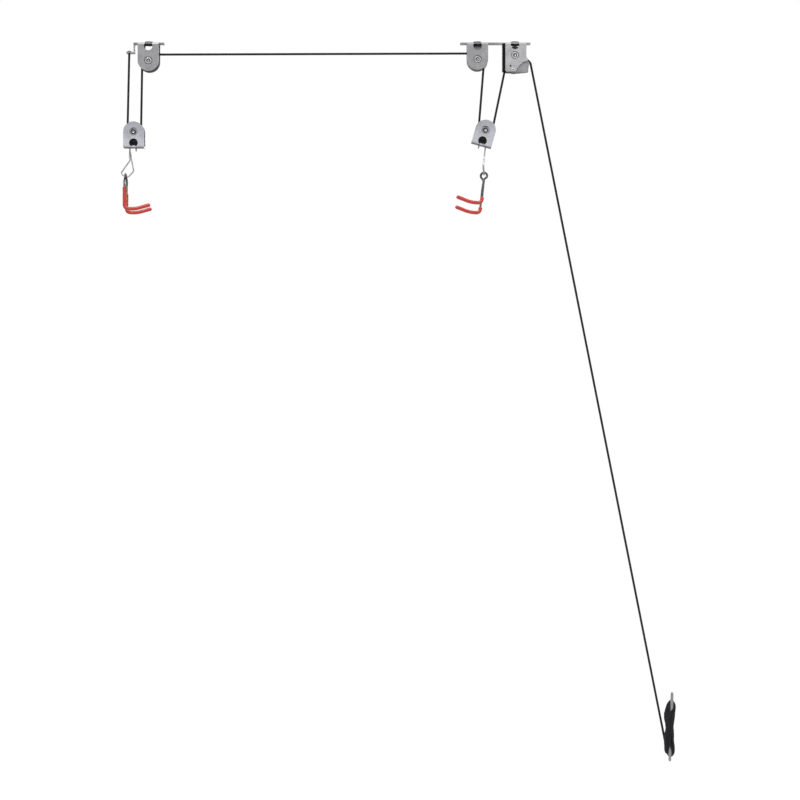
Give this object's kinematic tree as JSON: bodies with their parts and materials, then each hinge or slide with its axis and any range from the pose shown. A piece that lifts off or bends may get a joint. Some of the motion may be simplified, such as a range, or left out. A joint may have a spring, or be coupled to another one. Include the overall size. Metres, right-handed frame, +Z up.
{
  "type": "ceiling hoist",
  "caption": "Bicycle hoist for a ceiling: hook blocks on a rope over grooved wheels in sheet-metal brackets, a lever lock that clamps the rope, and a wall cleat.",
  "frame": {"origin": "centre of the front bracket's ceiling hole, at the top face of its plate", "axes": "+Z up towards the ceiling, +X from the front bracket to the rear bracket along the rope's plane, +Y towards the wall that the cleat is screwed to"},
  "size_m": [0.9973, 0.0945, 1.2947],
  "materials": {
    "bracket_sheet": "zinc-plated pressed sheet, satin",
    "block_sheet": "zinc-plated pressed sheet, satin",
    "lever_sheet": "zinc-plated bent sheet, satin",
    "black_plate": "black painted steel, semi-matt",
    "grommet": "moulded black rubber",
    "wheel": "moulded black nylon",
    "rivet": "hollow rivet, bright zinc",
    "spring_wire": "drawn spring wire",
    "hanger_wire": "bent bright wire",
    "hook_wire": "dark grey lacquered rod",
    "vinyl_sleeve": "dipped red vinyl, soft gloss",
    "cleat_casting": "die-cast, satin",
    "rope": "black braided polypropylene"
  },
  "bodies": {
    "root": {"front_bracket": "bracket_sheet", "rear_bracket": "bracket_sheet", "lock_anvil": "black_plate", "front_grommet": "grommet", "rear_grommet": "grommet", "lock_grommet": "grommet", "front_axle": "rivet", "rear_axle": "rivet", "lock_axle": "rivet", "lock_pin": "rivet", "lock_spring": "spring_wire", "cleat": "cleat_casting", "rope_button": "rope", "rope_front_fall_fixed": "rope", "rope_front_fall_running": "rope", "rope_span": "rope", "rope_rear_fall_running": "rope", "rope_rear_fall_lock": "rope", "rope_lead": "rope", "rope_on_cleat": "rope"},
    "front_wheel": {"front_wheel": "wheel"},
    "rear_wheel": {"rear_wheel": "wheel"},
    "lock_wheel": {"lock_wheel": "wheel"},
    "lock_lever": {"lock_lever": "lever_sheet"},
    "front_carrier": {"rope_front_loop": "rope"},
    "rear_carrier": {"rope_rear_loop": "rope"},
    "front_block_wheel": {"front_block_wheel": "wheel"},
    "rear_block_wheel": {"rear_block_wheel": "wheel"},
    "front_block": {"front_block_frame": "block_sheet", "front_block_axle": "rivet"},
    "rear_block": {"rear_block_frame": "block_sheet", "rear_block_axle": "rivet"},
    "front_hanger": {"front_hanger": "hanger_wire"},
    "rear_hanger": {"rear_hanger": "hanger_wire"},
    "front_hook": {"front_hook": "hook_wire", "front_hook_sleeve_near": "vinyl_sleeve", "front_hook_sleeve_far": "vinyl_sleeve"},
    "rear_hook": {"rear_hook": "hook_wire", "rear_hook_sleeve_near": "vinyl_sleeve", "rear_hook_sleeve_far": "vinyl_sleeve"}
  },
  "joints": [
    {"name": "front_block_lift", "type": "slide", "parent": "root", "child": "front_carrier", "axis": [0, 0, 1], "range_m": [-0.5, 0.04], "deforming": ["rope_front_fall_fixed", "rope_front_fall_running"]},
    {"name": "rear_block_lift", "type": "slide", "parent": "root", "child": "rear_carrier", "axis": [0, 0, 1], "range_m": [-0.5, 0.04], "deforming": ["rope_rear_fall_running", "rope_rear_fall_lock"]},
    {"name": "front_wheel_spin", "type": "hinge", "parent": "root", "child": "front_wheel", "pos_m": [0, 0, -0.0325], "axis": [0, 1, 0], "range_deg": [-4701, 381]},
    {"name": "rear_wheel_spin", "type": "hinge", "parent": "root", "child": "rear_wheel", "pos_m": [0.591, 0, -0.0305], "axis": [0, 1, 0], "range_deg": [-4701, 381]},
    {"name": "lock_wheel_spin", "type": "hinge", "parent": "root", "child": "lock_wheel", "pos_m": [0.6582, 0, -0.0232], "axis": [0, 1, 0], "range_deg": [-9398, 756]},
    {"name": "front_block_wheel_spin", "type": "hinge", "parent": "front_carrier", "child": "front_block_wheel", "pos_m": [-0.0265, 0, -0.1605], "axis": [0, 1, 0], "range_deg": [-193, 2353]},
    {"name": "rear_block_wheel_spin", "type": "hinge", "parent": "rear_carrier", "child": "rear_block_wheel", "pos_m": [0.6053, 0, -0.1575], "axis": [0, 1, 0], "range_deg": [-569, 7050]},
    {"name": "front_block_tilt", "type": "hinge", "parent": "front_carrier", "child": "front_block", "pos_m": [-0.0265, 0, -0.1605], "axis": [0, 1, 0], "range_deg": [-25, 25]},
    {"name": "rear_block_tilt", "type": "hinge", "parent": "rear_carrier", "child": "rear_block", "pos_m": [0.6053, 0, -0.1575], "axis": [0, 1, 0], "range_deg": [-25, 25]},
    {"name": "front_hanger_swing", "type": "hinge", "parent": "front_block", "child": "front_hanger", "pos_m": [-0.02875, 0, -0.1865], "axis": [1, 0, 0], "range_deg": [-6, 6]},
    {"name": "rear_hanger_swing", "type": "hinge", "parent": "rear_block", "child": "rear_hanger", "pos_m": [0.6003, 0, -0.1831], "axis": [0.9613, 0, -0.2756], "range_deg": [-6, 6]},
    {"name": "front_hook_swing", "type": "hinge", "parent": "front_hanger", "child": "front_hook", "pos_m": [-0.0422, 0, -0.2401], "axis": [1, 0, 0], "range_deg": [-25, 25]},
    {"name": "rear_hook_swing", "type": "hinge", "parent": "rear_hanger", "child": "rear_hook", "pos_m": [0.6029, 0, -0.2374], "axis": [0, 1, 0], "range_deg": [-25, 25]},
    {"name": "lock_lever_swing", "type": "hinge", "parent": "root", "child": "lock_lever", "pos_m": [0.6548, 0, -0.049], "axis": [0, 1, 0], "range_deg": [0, 12], "stiffness_Nm_per_rad": 0.05, "springref_deg": -17.19}
  ],
  "couplings": [
    {"joint": "rear_block_lift", "follows": "front_block_lift", "ratio": 1},
    {"joint": "front_wheel_spin", "follows": "front_block_lift", "rad_per_m": 163.93},
    {"joint": "rear_wheel_spin", "follows": "front_block_lift", "rad_per_m": 163.93},
    {"joint": "lock_wheel_spin", "follows": "front_block_lift", "rad_per_m": 327.87},
    {"joint": "front_block_wheel_spin", "follows": "front_block_lift", "rad_per_m": -81.967},
    {"joint": "rear_block_wheel_spin", "follows": "front_block_lift", "rad_per_m": -245.9}
  ]
}
